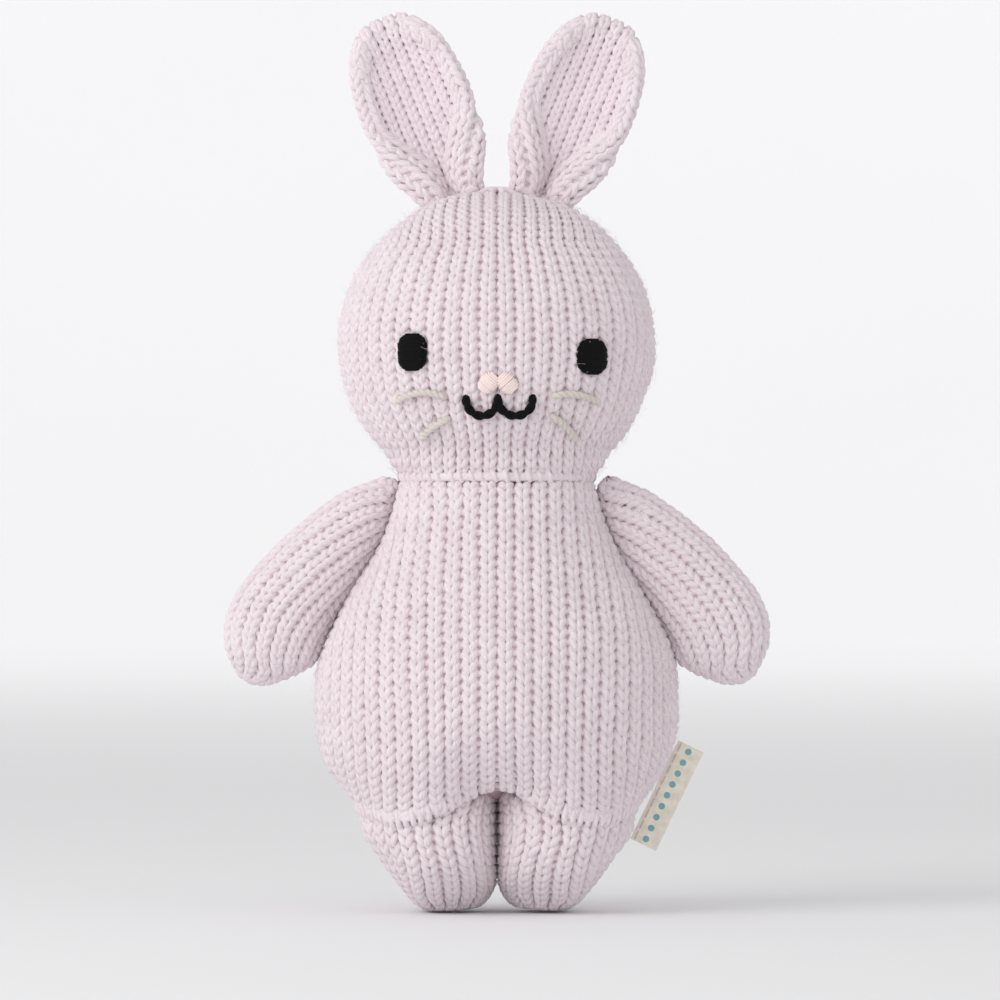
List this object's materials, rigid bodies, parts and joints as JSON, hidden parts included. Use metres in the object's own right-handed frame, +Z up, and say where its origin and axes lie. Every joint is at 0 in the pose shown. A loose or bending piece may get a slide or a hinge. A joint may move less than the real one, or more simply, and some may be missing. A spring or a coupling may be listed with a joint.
{
  "type": "stuffed rabbit",
  "caption": "Hand-knitted stuffed rabbit with a pear-shaped body, stitched face, upright cupped ears, flat-sewn arms and stubby legs.",
  "frame": {"origin": "middle of the footprint, on the plane that the soles rest on", "axes": "+Z up from the soles to the ears, -Y the way the face looks, +X the rabbit's own left"},
  "size_m": [0.1398, 0.073, 0.2293],
  "materials": {
    "lilac_knit": "hand-knitted stockinette in matte lilac cotton yarn",
    "lining_knit": "finer knitted stockinette in matte lilac cotton yarn",
    "lilac_yarn": "plied matte lilac cotton yarn",
    "stuffing": "loose white polyester fibre",
    "black_yarn": "matte black embroidery yarn",
    "pink_yarn": "soft pink stranded embroidery cotton",
    "grey_yarn": "greyish-beige two-ply yarn",
    "label_tape": "beige woven cotton tape",
    "label_thread": "beige sewing thread"
  },
  "bodies": {
    "torso": {"body_cover": "lilac_knit", "body_stuffing": "stuffing", "back_seam_yarn": "lilac_yarn", "hip_join_yarn_left": "lilac_yarn", "hip_join_yarn_right": "lilac_yarn", "label_thread": "label_thread"},
    "label": {"label_tape": "label_tape"},
    "neck": {"neck_gather_yarn": "lilac_yarn"},
    "head": {"head_cover": "lilac_knit", "head_stuffing": "stuffing", "crown_gather_yarn": "lilac_yarn", "eye_left": "black_yarn", "eye_right": "black_yarn", "nose_stitches": "pink_yarn", "mouth_stitches": "black_yarn", "whisker_left_upper": "grey_yarn", "whisker_left_lower": "grey_yarn", "whisker_right_upper": "grey_yarn", "whisker_right_lower": "grey_yarn"},
    "ear_left": {"ear_left_outer": "lilac_knit", "ear_left_lining": "lining_knit", "ear_left_seam_yarn": "lilac_yarn"},
    "ear_right": {"ear_right_outer": "lilac_knit", "ear_right_lining": "lining_knit", "ear_right_seam_yarn": "lilac_yarn"},
    "arm_left": {"arm_left_cover": "lilac_knit", "arm_left_stuffing": "stuffing", "arm_left_seam_yarn": "lilac_yarn"},
    "arm_right": {"arm_right_cover": "lilac_knit", "arm_right_stuffing": "stuffing", "arm_right_seam_yarn": "lilac_yarn"},
    "leg_left": {"leg_left_cover": "lilac_knit", "leg_left_stuffing": "stuffing"},
    "leg_right": {"leg_right_cover": "lilac_knit", "leg_right_stuffing": "stuffing"}
  },
  "joints": [
    {"name": "head_turn", "type": "hinge", "parent": "torso", "child": "neck", "pos_m": [0, 0, 0.1107], "axis": [0, 0, 1], "range_deg": [-60, 60]},
    {"name": "head_nod", "type": "hinge", "parent": "neck", "child": "head", "pos_m": [0, 0, 0.1453], "axis": [1, 0, 0], "range_deg": [-20, 20]},
    {"name": "ear_left_fold", "type": "hinge", "parent": "head", "child": "ear_left", "pos_m": [0.0122, 0.004, 0.1848], "axis": [0.9272, 0, -0.3746], "range_deg": [-35, 60]},
    {"name": "ear_right_fold", "type": "hinge", "parent": "head", "child": "ear_right", "pos_m": [-0.0122, 0.004, 0.1848], "axis": [0.9272, 0, 0.3746], "range_deg": [-35, 60]},
    {"name": "arm_left_flap", "type": "hinge", "parent": "torso", "child": "arm_left", "pos_m": [0.02371, 0, 0.11072], "axis": [0.4817, 0, -0.8763], "range_deg": [-38, 38]},
    {"name": "arm_right_flap", "type": "hinge", "parent": "torso", "child": "arm_right", "pos_m": [-0.02371, 0, 0.11072], "axis": [0.4817, 0, 0.8763], "range_deg": [-38, 38]},
    {"name": "leg_left_swing", "type": "hinge", "parent": "torso", "child": "leg_left", "pos_m": [0.0171, 0, 0.022], "axis": [-1, 0, 0], "range_deg": [-25, 30]},
    {"name": "leg_right_swing", "type": "hinge", "parent": "torso", "child": "leg_right", "pos_m": [-0.0171, 0, 0.022], "axis": [-1, 0, 0], "range_deg": [-25, 30]},
    {"name": "label_flap", "type": "hinge", "parent": "torso", "child": "label", "pos_m": [0.0462, 0.008, 0.0436], "axis": [-0.4384, 0, -0.8988], "range_deg": [-45, 45]}
  ]
}
